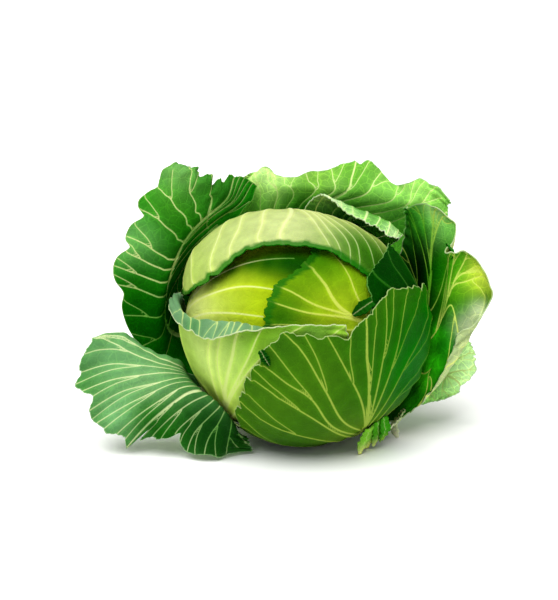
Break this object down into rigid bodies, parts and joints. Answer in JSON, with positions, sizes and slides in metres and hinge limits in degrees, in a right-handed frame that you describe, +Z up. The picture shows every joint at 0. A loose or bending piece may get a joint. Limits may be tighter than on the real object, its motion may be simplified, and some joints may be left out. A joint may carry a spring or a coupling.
{
  "type": "cabbage head",
  "caption": "Head of white cabbage lying on its side, with a dense heart, a cut stalk and waved loose outer leaves.",
  "frame": {"origin": "middle of the small flat spot under the head on which it rests", "axes": "+Z up from the surface; -Y towards the viewer of the opened crown; the stalk points to +Y and down; +X to the viewer's right"},
  "size_m": [0.3046, 0.1943, 0.202],
  "materials": {
    "heart_skin": "waxy yellow-green leaf",
    "inner_leaf": "waxy yellow-green leaf",
    "pale_leaf": "waxy pale green leaf",
    "front_leaf": "waxy light green leaf",
    "olive_leaf": "waxy olive green leaf",
    "deep_leaf": "waxy deep green leaf",
    "outer_leaf": "waxy green leaf with pale veins",
    "bloomed_leaf": "blue-green leaf under a dull waxy bloom"
  },
  "bodies": {
    "root": {"heart": "heart_skin", "leaf_heart_right": "inner_leaf", "leaf_crown": "pale_leaf", "leaf_front_left": "front_leaf", "leaf_front_right": "olive_leaf", "leaf_head_right": "deep_leaf", "leaf_top_folded": "bloomed_leaf", "leaf_left": "outer_leaf", "leaf_left_low": "bloomed_leaf", "leaf_back": "outer_leaf", "leaf_right": "outer_leaf", "leaf_right_low": "bloomed_leaf"}
  },
  "joints": []
}
